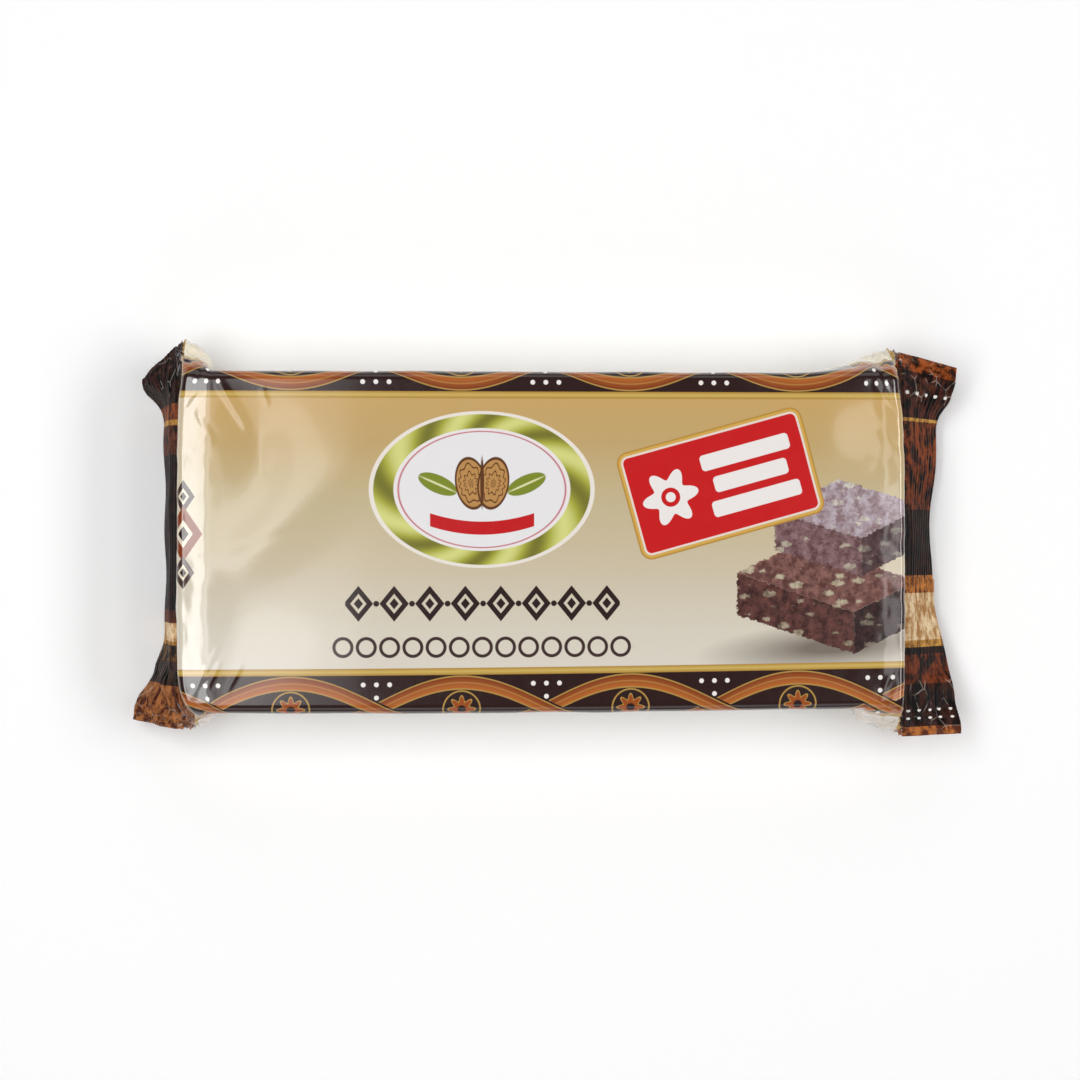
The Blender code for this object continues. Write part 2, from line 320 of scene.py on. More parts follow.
def arc_length(points):
    """Distance along a line of points, from its first."""
    steps = np.linalg.norm(np.diff(points, axis=0), axis=1)
    return np.concatenate([[0.0], np.cumsum(steps)])


def unit_normals(points):
    """The outward unit normal at each point of closed sections, or of a strip of them."""
    along = np.gradient(points, axis=0)
    around = np.gradient(points, axis=1)
    if np.allclose(points[:, 0], points[:, -1]):
        around[:, 0] = around[:, -1] = (points[:, 1] - points[:, -2]) / 2.0
    normal = np.cross(along, around)
    return normal / np.maximum(np.linalg.norm(normal, axis=-1, keepdims=True), 1e-9)


# Swells and hollows of the loose film, most of them at the left: x, y, half length, half
# width, turn, height. Creases are sharp folds: from x, y to x, y, half width, height.
SWELLS = (
    (-71.0, 1.5, 20.0, 7.0, 40.0, 1.05),
    (-74.5, 22.5, 9.0, 7.0, 75.0, -0.80),
    (-87.0, 34.0, 6.0, 6.0, 80.0, 0.50),
    (-89.5, -16.0, 14.0, 6.0, 90.0, 0.85),
    (-50.0, -26.0, 10.0, 24.0, 90.0, 0.70),
    (-52.0, 22.0, 12.0, 16.0, 70.0, 0.45),
    (72.0, 28.5, 8.0, 13.0, 90.0, 1.0),
    (62.0, 36.0, 9.0, 8.0, 70.0, -0.25),
)
CREASES = (
    (-84.6, 41.6, -76.6, 28.6, 1.7, 0.34),
    (-90.0, 33.4, -85.4, 25.6, 1.2, 0.22),
    (-73.4, 39.6, -71.6, 35.0, 0.8, 0.14),
    (-74.0, 29.0, -73.2, 16.0, 3.4, -0.10),
    (-89.6, -4.2, -62.0, 3.6, 3.0, -0.20),
    (-18.4, 38.8, -18.7, 32.0, 0.7, 0.10),
    (-88.0, -38.6, -83.8, -30.6, 0.8, 0.18),
    (-82.4, -38.4, -78.4, -31.4, 0.8, 0.16),
    (-92.0, -41.0, -84.0, -26.0, 0.9, 0.14),
    (-88.6, 38.6, -93.0, 33.0, 0.9, 0.20),
    (86.0, 41.0, 92.0, 35.0, 0.8, 0.14),
    (58.0, 42.0, 61.0, 38.6, 0.6, 0.10),
    (88.0, -40.0, 92.0, -33.0, 0.8, 0.10),
)
# The relief of the face fades out over this height, and the corner folds follow the crease.
FACE_FADE = 5.0
CREASE_AROUND = WIDTH / 2.0 + HEIGHT - SEAL_HEIGHT - 1.0

# The corner folds puff out or in here: the same numbers, with the place round the film for y.
FLAPS = (
    (83.0, 53.0, 9.0, 7.0, 0.0, 2.9),
    (88.5, 50.5, 1.6, 4.0, 0.0, -0.8),
    (86.0, -55.0, 6.0, 6.0, 0.0, 0.7),
    (83.5, -51.0, 1.6, 3.0, 0.0, -0.9),
    (88.5, -54.5, 1.8, 2.4, 0.0, -1.0),
    (-90.5, 55.0, 4.5, 6.0, 0.0, 1.2),
    (-91.0, -55.0, 5.0, 6.0, 0.0, 0.5),
    (-91.0, 51.5, 1.6, 2.0, 0.0, -1.8),
)


def hills(x, y, table):
    """The sum of rounded hills: each falls off as a bell curve along and across its turn."""
    height = np.zeros_like(x)
    for x0, y0, half_length, half_width, turn, size in table:
        c, s = np.cos(np.radians(turn)), np.sin(np.radians(turn))
        ahead = ((x - x0) * c + (y - y0) * s) / half_length
        aside = ((y - y0) * c - (x - x0) * s) / half_width
        height += size * np.exp(-(ahead**2) - aside**2)
    return height


def creases(x, y):
    """The sum of straight ridges: a tent across each, that fades to nothing at its two tips."""
    height = np.zeros_like(x)
    for x0, y0, x1, y1, half_width, size in CREASES:
        length = np.hypot(x1 - x0, y1 - y0)
        cx, sy = (x1 - x0) / length, (y1 - y0) / length
        ahead = np.clip(((x - x0) * cx + (y - y0) * sy) / length, 0.0, 1.0)
        aside = np.hypot(x - x0 - ahead * (x1 - x0), y - y0 - ahead * (y1 - y0)) / half_width
        height += size * np.maximum(1.0 - aside, 0.0) ** 1.5 * np.sin(np.pi * ahead) ** 0.5
    return height


# Crinkles of the walls, of the corner folds, coarse and fine, and of the whole ends: height,
# size and seed.
CRINKLES = ((0.10, 17.0, 5), (0.75, 5.0, 11), (0.4, 2.6, 17), (0.10, 7.0, 12))
CRINKLED_END = 13.0
END_GROWTH = 11.0
FOLD_REACH = 9.0


def film_relief(points, along, around):
    """How far the body film stands off its smooth form at each point, along its normal.

    Swells and creases on the face, faint waves on the long walls and crumpled gussets.
    """
    x, y, z = (points[..., k] for k in range(3))
    crinkled = (height * crinkle(along, around, size, seed) for height, size, seed in CRINKLES)
    walls, coarse, fine, ends = crinkled
    on_face = smooth((z - HEIGHT + FACE_FADE) / FACE_FADE) * (np.abs(x) < LENGTH / 2.0)
    relief = on_face * (hills(x, y, SWELLS) + creases(x, y))
    wall = np.abs(np.abs(around) - WIDTH / 2.0 - HEIGHT / 2.0) < HEIGHT / 2.0
    relief += np.where(wall, walls, 0.0)
    near_end = smooth((np.abs(x) - LENGTH / 2.0 + CRINKLED_END) / END_GROWTH)
    near_crease = np.exp(-(((np.abs(around) - CREASE_AROUND) / FOLD_REACH) ** 2))
    relief += near_end * near_crease * (coarse + fine)
    return relief + hills(x, around, FLAPS) + near_end * ends


def mesh_object(name, points, faces):
    """An object in the scene that is a smooth mesh on points in millimetres."""
    mesh = bpy.data.meshes.new(name)
    mesh.from_pydata((points.reshape(-1, 3) * METRES).tolist(), [], faces.tolist())
    mesh.shade_smooth()
    piece = bpy.data.objects.new(name, mesh)
    scene.collection.objects.link(piece)
    return piece


def grid(rows, columns):
    """The row and the column of each quad of a grid, as two flat lists."""
    places = np.meshgrid(np.arange(rows), np.arange(columns), indexing="ij")
    return (place.ravel() for place in places)


BAKE_MARGIN = 0.005


def film_mesh(name, points, along, around, cut_row=None, bake_map=True):
    """A mesh from rows of closed sections, with the film's own coordinates in millimetres.

    Each quad takes the four neighbours of the grid. The cut edge of a fin, its first or its
    last row, is closed with a strip from the upper film to the lower, crease to crease.
    """
    rows, columns = points.shape[0], points.shape[1] - 1
    i, j = grid(rows - 1, columns)
    grid_rows = np.stack([i, i + 1, i + 1, i], axis=1)
    grid_columns = np.stack([j, j, j + 1, j + 1], axis=1)
    upper = grid_columns
    if cut_row is not None:
        crease = half_columns()[1] + 1
        k = np.arange(columns // 2)
        strip = np.stack([crease + k, crease + k + 1, crease - k - 1, crease - k], axis=1)
        seen = strip[:, [0, 1, 1, 0]]
        if cut_row:
            strip, seen = strip[:, ::-1], seen[:, ::-1]
        grid_rows = np.concatenate([grid_rows, np.full_like(strip, cut_row)])
        grid_columns = np.concatenate([grid_columns, strip])
        upper = np.concatenate([upper, seen])
    faces = grid_rows * columns + grid_columns % columns
    piece = mesh_object(name, points[:, :-1], faces)
    place_mm = np.stack([along[grid_rows.ravel()], around[upper.ravel()]], axis=1)
    maps = {"film_mm": place_mm}
    if bake_map:
        low, high = (along.min(), around.min()), (along.max(), around.max())
        share = (place_mm - low) / np.subtract(high, low)
        maps["OFBake"] = BAKE_MARGIN + (1.0 - 2.0 * BAKE_MARGIN) * share
    for map_name, places in maps.items():
        layer = piece.data.uv_layers.new(name=map_name)
        layer.uv.foreach_set("vector", places.astype(np.float32).ravel())
    return piece


# The relief fades in over this many rows from each end, so the body meets the fins.
LEVEL_ROWS = 6.0

left_half, right_half = (rings(end, body_rows(end)) for end in (-1, 1))
body = np.concatenate([left_half[::-1], right_half[1:]])
middle_row = body.shape[0] // 2
ring_length = arc_length(body[middle_row])
underneath = body[middle_row, :, 2] < HEIGHT / 2.0
top_centre = np.argmin(np.abs(body[middle_row, :, 1]) + WIDTH * underneath)
film_around = ring_length - ring_length[top_centre]
film_along = arc_length(body[:, top_centre])
film_along -= film_along[middle_row]
lift = film_relief(body, *np.meshgrid(film_along, film_around, indexing="ij"))
rows_in = np.arange(body.shape[0])
closing = np.minimum(1.0, np.minimum(rows_in, rows_in[::-1]) / LEVEL_ROWS)
body = body + unit_normals(body) * (lift * closing[:, None])[..., None]
body_film = film_mesh("body_film", body, film_along, film_around)


# Print. Inks on the inside of clear film: a ground that fades from honey to cream, gold rules,
# dark brown borders with a braided ribbon, an oval badge, a red panel and cut halva, with a few
# painted highlights and a painted reflection among them. It reads the film's own coordinates,
# so it follows the sheet round every edge and over the seals.
EDGE_SOFTNESS = 0.14


def linear(tint):
    """The linear colour of an sRGB hex value, each channel by the standard's two-part curve."""
    channels = [int(tint[k : k + 2], 16) / 255.0 for k in (1, 3, 5)]
    return [c / 12.92 if c <= 0.04045 else ((c + 0.055) / 1.055) ** 2.4 for c in channels] + [1.0]


def feed(tree, sockets, values):
    """Links or fills sockets in order. A value of None leaves one as it is."""
    for socket, value in zip(sockets, values):
        if isinstance(value, bpy.types.NodeSocket):
            tree.links.new(value, socket)
        elif value is not None:
            socket.default_value = value


def add(tree, kind, *values, **settings):
    """Adds a node, feeds its inputs in order and returns the output of its result.

    The kind is one like "TexNoise", or one like "VectorMath SCALE" with its operation. Capitals
    alone are an operation of a Math node.
    """
    if kind.isupper():
        kind = "Math " + kind
    kind, _, operation = kind.partition(" ")
    node = tree.nodes.new("ShaderNode" + kind)
    if operation:
        node.operation = operation
    for name, value in settings.items():
        setattr(node, name, value)
    feed(tree, node.inputs, values)
    return node.outputs[1 if operation in ("LENGTH", "DOT_PRODUCT") else 0]


def within(tree, distance, reach=0.0):
    """1 where distance is under reach and 0 over it, with an edge as soft as a printed one."""
    half = EDGE_SOFTNESS / 2.0
    return add(tree, "MapRange", distance, reach + half, reach - half)


def ink(tree, below, distance, *layers):
    """Lays inks over the colours below, each where distance is under its reach.

    A layer is a hex colour or an output, with a reach of 0, or such a one and its reach.
    """
    for layer in layers:
        fill, reach = layer if isinstance(layer, tuple) else (layer, 0.0)
        fill = linear(fill) if isinstance(fill, str) else fill
        below = add(tree, "MixRGB", within(tree, distance, reach), below, fill)
    return below


def past(tree, value, half, middle=0.0):
    """How far a value is outside the stretch of a half length on each side of a middle."""
    away = add(tree, "ABSOLUTE", add(tree, "SUBTRACT", value, middle))
    return add(tree, "SUBTRACT", away, half)


def radius_of(tree, x, y):
    """The root of the sum of the squares of x and y."""
    return add(tree, "VectorMath LENGTH", add(tree, "CombineXYZ", x, y))


def dots(tree, x, y, pitch, radius):
    """How far a point is outside the round dots of a square pattern."""
    x, y = (add(tree, "WRAP", value, pitch / 2.0, -pitch / 2.0) for value in (x, y))
    return add(tree, "SUBTRACT", radius_of(tree, x, y), radius)


def local(tree, film, centre, turn=0.0):
    """Coordinates in millimetres about a centre, turned by an angle, as a vector and x and y."""
    angle = (0.0, 0.0, np.radians(turn))
    moved = add(tree, "Mapping", film, (*centre, 0.0), angle, (1, 1, 1), vector_type="TEXTURE")
    x = add(tree, "SeparateXYZ", moved)
    return moved, x, x.node.outputs[1]


def oval(tree, spot, radii):
    """About how far a point is outside an oval: its length in radii, less 1, in millimetres."""
    scaled = add(tree, "VectorMath DIVIDE", spot, (*radii, 1.0))
    length = add(tree, "VectorMath LENGTH", scaled)
    return add(tree, "MULTIPLY_ADD", length, min(radii), -min(radii))


def rounded_box(tree, spot, half, corner):
    """How far a point is outside a box with round corners: the length of what passes them."""
    passed = add(tree, "VectorMath ABSOLUTE", spot)
    inner = (half[0] - corner, half[1] - corner, 0.0)
    passed = add(tree, "VectorMath SUBTRACT", passed, inner)
    passed = add(tree, "VectorMath MAXIMUM", passed, (0.0, 0.0, 0.0))
    return add(tree, "SUBTRACT", add(tree, "VectorMath LENGTH", passed), corner)


def facet(tree, film, corner, side_1, side_2):
    """How far a point is outside the parallelogram on a corner and two sides.

    It is the larger of two offsets from the middle, each across one side.
    """
    area = abs(side_1[0] * side_2[1] - side_1[1] * side_2[0])
    moved = add(tree, "VectorMath SUBTRACT", film, (*(corner + (side_1 + side_2) / 2.0), 0.0))
    outside = []
    for side in (side_1, side_2):
        across = np.array([side[1], -side[0], 0.0]) / np.hypot(*side)
        offset = add(tree, "VectorMath DOT_PRODUCT", moved, across)
        outside.append(past(tree, offset, area / np.hypot(*side) / 2.0))
    return add(tree, "MAXIMUM", *outside)


def ramp(tree, share, stops, mode="LINEAR"):
    """The colour at a share, 0 to 1, of a row of stops, each a share and a hex colour."""
    colour = add(tree, "ValToRGB", share)
    row = colour.node.color_ramp
    row.interpolation = mode
    for k, (where, tint) in enumerate(stops):
        stop = row.elements[k] if k in (0, 1) else row.elements.new(where)
        stop.position = where
        stop.color = linear(tint)
    return colour


GOLD_INK = "#B48E48"
# The gold rules' inks at their edges and along their middle; the lighter middle is a painted sheen.
RULE_SHEEN_INKS = ("#AC8234", "#CFB260")
BROWN_INK = "#2A1311"
ROSETTE_INK = "#2A1816"
ORANGE_INK = "#9C4C1C"
DOT_INK = "#F1ECE6"
# The ground's colour round the film. The stop at 50 mm, on the back wall, is cream lightened with a
# painted highlight.
GROUND_AND_WALL_LIGHT_STOPS = (
    (-71.0, "#E2D8C6"), (-50.0, "#DDD2C6"), (-31.0, "#DBD4C6"), (-22.0, "#D7CFBE"),
    (-8.0, "#CFC2A9"), (0.0, "#CBBC9D"), (10.5, "#C6B691"), (26.0, "#C3A670"),
    (38.0, "#C9A466"), (50.0, "#F2E8D0"), (71.0, "#E2D8C6"),
)


def ground(tree, v):
    """The ground colour by its place round the film, read from a ramp, with a painted highlight on
    the back wall.
    """
    low, high = GROUND_AND_WALL_LIGHT_STOPS[0][0], GROUND_AND_WALL_LIGHT_STOPS[-1][0]
    stops = [((place_v - low) / (high - low), tint) for place_v, tint in GROUND_AND_WALL_LIGHT_STOPS]
    return ramp(tree, add(tree, "MapRange", v, low, high), stops)


# Where the painted reflection on the left end's bevel grows in, in millimetres along the film.
GLARE_FROM = -86.0
GLARE_TO = -91.0


def painted_end_glare(tree, u, below):
    """A painted reflection on the left end's bevel: cream over the ground, growing to half a tint
    from 86 to 91 mm left of the middle.
    """
    share = add(tree, "MapRange", u, GLARE_FROM, GLARE_TO, 0.0, 0.55)
    return add(tree, "MixRGB", share, below, linear("#E2DAC8"))


BRAID_CELL = 22.0
BRAID_MIDDLE = 9.0
BRAID_SWING = 7.0
RIBBON_HALF = 1.5
RIBBON_INKS = ("#7E3813", "#B7672B")
ROSETTE_RADIUS = 4.6
DOT_PITCH = 3.4
DOT_HEIGHT = 2.4


def border(tree, u, w):
    """Braided ribbons with rosettes in their eyes and dots between, on brown.

    Two ribbons follow a sine and its mirror about BRAID_MIDDLE; the one that rises in each cell
    lies on top, so they pass over and under by turns.
    """
    cell = add(tree, "WRAP", u, BRAID_CELL, -BRAID_CELL)
    swing = add(tree, "SINE", add(tree, "MULTIPLY", cell, np.pi / 2.0 / BRAID_CELL))
    folded = past(tree, w, 0.0, BRAID_MIDDLE)
    height = add(tree, "SUBTRACT", BRAID_MIDDLE, folded)
    aside = add(tree, "ABSOLUTE", cell)
    dot = dots(tree, cell, add(tree, "SUBTRACT", height, DOT_HEIGHT), DOT_PITCH, 0.62)
    group = add(tree, "SUBTRACT", add(tree, "ADD", aside, height), 8.0)
    colour = ink(tree, linear(BROWN_INK), add(tree, "MAXIMUM", dot, group), DOT_INK)
    edges = ((BROWN_INK, RIBBON_HALF + 0.9), (GOLD_INK, RIBBON_HALF + 0.35))
    for sign in (-1.0, 1.0):
        line = add(tree, "MULTIPLY_ADD", swing, sign * BRAID_SWING, BRAID_MIDDLE)
        above = add(tree, "SUBTRACT", w, line)
        across = add(tree, "MapRange", above, -RIBBON_HALF, RIBBON_HALF)
        fill = add(tree, "MixRGB", across, *(linear(tint) for tint in RIBBON_INKS))
        away = add(tree, "ABSOLUTE", above)
        colour = ink(tree, colour, away, *edges, (fill, RIBBON_HALF), ("#B27A3E", 0.16))
    eye_u = add(tree, "SUBTRACT", aside, BRAID_CELL)
    radius = radius_of(tree, eye_u, folded)
    petals = add(tree, "MULTIPLY", add(tree, "ARCTAN2", folded, eye_u), 8.0)
    petals = add(tree, "MULTIPLY_ADD", add(tree, "COSINE", petals), -0.75, radius)
    rim = ((GOLD_INK, ROSETTE_RADIUS + 0.4), (ROSETTE_INK, ROSETTE_RADIUS))
    colour = ink(tree, colour, radius, *rim)
    colour = ink(tree, colour, petals, (GOLD_INK, 3.0), (ORANGE_INK, 2.6))
    return ink(tree, colour, radius, (ROSETTE_INK, 1.1))


# Fields across the left and the right end of the film: each starts at a place round it and
# has a dark and a light ink.
END_BLOCKS = {
    -1: (
        (-60.0, "#4A1E0E", "#B06E3C"), (-36.5, "#0C0807", "#463028"), (-30.0, "#120A07", "#765024"),
        (-26.2, "#7E5220", "#CE9846"), (-25.0, "#B07E48", "#F0D6AC"), (-20.5, "#3A170C", "#7C3918"),
        (-17.0, "#080403", "#2A140D"), (22.4, "#240F09", "#6E3620"), (29.8, "#94642A", "#D2A24E"),
        (31.0, "#34150B", "#A0522A"), (35.2, "#080504", "#3C2018"),
    ),
    1: (
        (-60.0, "#552610", "#B4682C"), (-52.0, "#080404", "#3A1A10"), (-38.0, "#160906", "#7A3717"),
        (-30.0, "#080404", "#24130D"), (-28.2, "#7E5220", "#CE9846"), (-26.4, "#B07E48", "#F0D6AC"),
        (-14.0, "#572810", "#CC8038"), (-9.0, "#080403", "#30180F"), (8.0, "#0C0504", "#7C3918"),
        (20.0, "#220E08", "#8E4420"), (31.0, "#94642A", "#D2A24E"), (32.2, "#090504", "#54281A"),
        (46.0, "#240F09", "#A2501E"),
    ),
}
END_DOT_PITCH = 3.0
END_DOTS_MIDDLE = -4.0
END_DOTS_OUT = 43.0
# Painted crease highlights on the ears: where they begin round the film, their cell size and half
# their width.
GLINTS_FROM = 37.0
GLINT_CELL = 4.0
GLINT_HALF = 0.1


def end_band(tree, film, u, v):
    """Fields of black-brown, rust and gold across the film's ends, with a few white dots.

    Each field has a dark and a light ink, and noise drawn out along the ribs picks one. On the
    ears painted highlights in whitish grey run along some straight edges of irregular cells, as
    on creases that catch the light.
    """
    drawn_out = add(tree, "Mapping", film, None, None, (0.45, 0.2, 1.0))
    marble = add(tree, "TexNoise", drawn_out, None, 1.0, 7.0, 0.72, noise_dimensions="2D")
    marble = add(tree, "MapRange", marble, 0.43, 0.59)
    fields = {}
    for end, blocks in END_BLOCKS.items():
        start = blocks[0][0]
        share = add(tree, "MapRange", v, start, -start)
        shades = []
        for k in (1, 2):
            stops = [(0.5 - 0.5 * block[0] / start, block[k]) for block in blocks]
            shades.append(ramp(tree, share, stops, "CONSTANT"))
        fields[end] = add(tree, "MixRGB", marble, *shades)
    colour = ink(tree, fields[1], u, fields[-1])
    dot = dots(tree, u, v, END_DOT_PITCH, 0.5)
    row = past(tree, past(tree, v, 0.0, END_DOTS_MIDDLE), 2.2, END_DOTS_OUT)
    row = add(tree, "MAXIMUM", row, add(tree, "MULTIPLY", u, -1.0))
    colour = ink(tree, colour, add(tree, "MAXIMUM", dot, row), DOT_INK)
    # Painted highlights along creases of the ears, faded in and out by noise.
    slant = add(tree, "Mapping", film, None, (0.0, 0.0, 0.6), (0.3, 0.16, 1.0))
    cells = {"voronoi_dimensions": "2D", "feature": "DISTANCE_TO_EDGE"}
    crease_glint = add(tree, "TexVoronoi", slant, None, 1.0, **cells)
    crease_glint = add(tree, "MULTIPLY_ADD", crease_glint, GLINT_CELL, -GLINT_HALF)
    flat = add(tree, "SUBTRACT", GLINTS_FROM, add(tree, "ABSOLUTE", v))
    crease_glint = within(tree, add(tree, "MAXIMUM", crease_glint, flat))
    glint_fade = add(tree, "TexNoise", film, None, 0.22, 2.0, 0.5, noise_dimensions="2D")
    glint_fade = add(tree, "MapRange", glint_fade, 0.5, 0.66, 0.0, 0.45)
    crease_glint = add(tree, "MULTIPLY", crease_glint, glint_fade)
    return add(tree, "MixRGB", crease_glint, colour, linear("#C9BFB4"))


BADGE_CENTRE = (-16.6, 13.8)
BADGE_RADII = (29.3, 20.3)
BADGE_METAL = ((0.0, "#77752A"), (1.0, "#D6D884"), (0.45, "#ABAC42"))
NUT_MIDDLE = 15.4
SHELL_INK = "#5E3618"


def badge(tree, film, below):
    """An oval badge: a twisted gold and green rim, and on its white a walnut over a ribbon.

    The twist is a sine of the angle plus the distance outwards, and the shell is two ovals
    whose outlines ripple with a sine of the angle round each.
    """
    spot, x, y = local(tree, film, BADGE_CENTRE)
    outside = oval(tree, spot, BADGE_RADII)
    turned = add(tree, "MULTIPLY", add(tree, "ARCTAN2", y, x), 8.0)
    twist = add(tree, "SINE", add(tree, "MULTIPLY_ADD", outside, 0.5, turned))
    metal = ramp(tree, add(tree, "MULTIPLY_ADD", twist, 0.5, 0.5), BADGE_METAL)
    white = (("#ECE6E4", -4.4), ("#C8808A", -5.1), ("#E9E7E8", -5.45))
    colour = ink(tree, below, outside, "#ECE4DA", (metal, -0.8), *white)
    ribbon = add(tree, "MULTIPLY_ADD", add(tree, "MULTIPLY", x, x), -0.012, y)
    ribbon = add(tree, "MAXIMUM", past(tree, ribbon, 1.7, -10.0), past(tree, x, 13.5))
    colour = ink(tree, colour, ribbon, "#C4171C")
    centre_x = BADGE_CENTRE[0]
    for side in (-1.0, 1.0):
        leaf, _, _ = local(tree, film, (centre_x + side * 11.5, 15.2), side * 24.0)
        colour = ink(tree, colour, oval(tree, leaf, (5.4, 2.3)), "#7E8B2A")
        colour = ink(tree, colour, oval(tree, leaf, (5.0, 0.28)), "#DCDCA8")
        lobe, x, y = local(tree, film, (centre_x + side * 2.9, NUT_MIDDLE), side * -9.0)
        shell = oval(tree, lobe, (4.1, 6.9))
        turned = add(tree, "MULTIPLY", add(tree, "ARCTAN2", y, x), 11.0)
        ripple = add(tree, "MULTIPLY_ADD", add(tree, "SINE", turned), 0.26, shell)
        wrinkle = add(tree, "SUBTRACT", 0.13, add(tree, "PINGPONG", ripple, 0.62))
        kernel = add(tree, "MAXIMUM", add(tree, "ADD", shell, 0.45), wrinkle)
        colour = ink(tree, colour, shell, SHELL_INK)
        colour = ink(tree, colour, kernel, "#BC8B50")
    ridge, _, _ = local(tree, film, (centre_x, NUT_MIDDLE + 0.2))
    return ink(tree, colour, oval(tree, ridge, (0.5, 6.6)), SHELL_INK)


PANEL_CENTRE = (45.8, 15.4)
PANEL_TILT = 15.4
PANEL_HALF = (24.6, 13.9)
ROSETTE_CENTRE = (32.6, 11.8)
PANEL_RED = "#C9171A"
PANEL_WHITE = "#EFE9E6"
# Each bar of the panel: its height over the middle, and half its length.
PANEL_BARS = ((6.2, 12.0), (0.0, 10.0), (-6.2, 12.0))


def red_panel(tree, film, below):
    """A tilted red panel in a gold frame: a white rosette and three white bars.

    The rosette's outline is a circle less a cosine of six times the angle.
    """
    spot, _, _ = local(tree, film, PANEL_CENTRE, PANEL_TILT)
    outside = rounded_box(tree, spot, PANEL_HALF, 2.6)
    rim = (("#B98B39", 0.5), ("#D3A850", 0.1), ("#E9D9D0", -0.6))
    colour = ink(tree, below, outside, *rim, (PANEL_RED, -1.15))
    flower, x, y = local(tree, film, ROSETTE_CENTRE, PANEL_TILT)
    radius = add(tree, "VectorMath LENGTH", flower)
    lobes = add(tree, "MULTIPLY", add(tree, "ARCTAN2", y, x), 6.0)
    lobes = add(tree, "MULTIPLY_ADD", add(tree, "COSINE", lobes), -1.5, radius)
    colour = ink(tree, colour, lobes, (PANEL_WHITE, 6.0))
    colour = ink(tree, colour, radius, (PANEL_RED, 2.5), (PANEL_WHITE, 1.3))
    for offset, long in PANEL_BARS:
        bar = add(tree, "VectorMath SUBTRACT", spot, (8.2, offset, 0.0))
        colour = ink(tree, colour, rounded_box(tree, bar, (long, 2.1), 1.0), PANEL_WHITE)
    return colour


LOZENGE_ROW = (-16.4, -15.7)
LOZENGE_ROW_HALF = 35.6
LOZENGE_CELL = 4.6
RING_ROW = (-16.6, -27.0)
RING_ROW_HALF = 39.3
ROW_INK = "#2A1A18"


def rows_of_ornament(tree, film, below):
    """Two rows under the badge: bold brown lozenges with dots, and a fine row of rings.

    A lozenge is where the sum of the distances along and across is under its size.
    """
    _, x, y = local(tree, film, LOZENGE_ROW)
    ends = past(tree, x, LOZENGE_ROW_HALF)
    cell = add(tree, "PINGPONG", add(tree, "ADD", x, LOZENGE_CELL), LOZENGE_CELL)
    high = add(tree, "MULTIPLY", add(tree, "ABSOLUTE", y), 0.82)
    lozenge = add(tree, "ADD", cell, high)
    bold = add(tree, "MAXIMUM", add(tree, "SUBTRACT", lozenge, 3.8), ends)
    colour = ink(tree, below, bold, ROW_INK)
    colour = ink(tree, colour, lozenge, (below, 2.1))
    colour = ink(tree, colour, add(tree, "MAXIMUM", lozenge, ends), (ROW_INK, 1.2))
    dot = radius_of(tree, add(tree, "SUBTRACT", LOZENGE_CELL, cell), y)
    dot = add(tree, "MAXIMUM", add(tree, "SUBTRACT", dot, 0.75), ends)
    colour = ink(tree, colour, dot, ROW_INK)
    _, x, y = local(tree, film, RING_ROW)
    ring = radius_of(tree, add(tree, "WRAP", x, 3.0, -3.0), y)
    ring = add(tree, "MAXIMUM", past(tree, ring, 0.42, 2.3), past(tree, x, RING_ROW_HALF))
    return ink(tree, colour, ring, "#3E2C29")


def halva_slab(tree, rough, below, corner, length, depth, rise, *shades):
    """A cut bar of halva as three facets, front, side and top, with slivers of walnut.

    Noise mixes a dark and a light shade, and the slivers are cores of stretched cells.
    """
    corner, length, depth, rise = (np.array(v) for v in (corner, length, depth, rise))
    grain = add(tree, "TexNoise", rough, None, 0.42, 6.0, 0.72, noise_dimensions="2D")
    tone = add(tree, "MapRange", grain, 0.38, 0.64)
    turned = add(tree, "Mapping", rough, None, (0.0, 0.0, 0.35), (0.2, 0.42, 1.0))
    cells = add(tree, "TexVoronoi", turned, None, 1.0, voronoi_dimensions="2D")
    chosen = add(tree, "SeparateColor", cells.node.outputs[1])
    reach = add(tree, "MapRange", chosen, 0.45, 1.0, -0.1, 0.4)
    sliver = within(tree, add(tree, "SUBTRACT", cells, reach))
    smeared = add(tree, "MapRange", grain, 0.36, 0.58, 0.3, 1.0)
    sliver = add(tree, "MULTIPLY", sliver, smeared)
    front, side = (corner, length, rise), (corner + length, depth, rise)
    top = (corner + rise, length, depth)
    for face, (dark, light, nut) in zip((front, side, top), shades):
        paste = add(tree, "MixRGB", tone, linear(dark), linear(light))
        paste = add(tree, "MixRGB", sliver, paste, linear(nut))
        below = ink(tree, below, facet(tree, rough, *face), paste)
    return below


# Each bar: its corner, length, depth and rise, and then for its front, side and top the dark
# and the light shade of the paste and the shade of the nuts.
HALVA_BARS = (
    (
        (50.0, -19.0), (31.0, -10.5), (17.0, 8.0), (0.0, 11.0), ("#3A201D", "#6B413B", "#A79A82"),
        ("#241311", "#43292A", "#7F7464"), ("#583430", "#8C625A", "#BDB298"),
    ),
    (
        (60.0, -2.0), (23.0, -7.0), (17.0, 8.5), (0.0, 10.0), ("#5E3F40", "#8F7072", "#B3A896"),
        ("#3A2728", "#604749", "#8E8478"), ("#8A7074", "#BDB0B8", "#D2CBBC"),
    ),
)


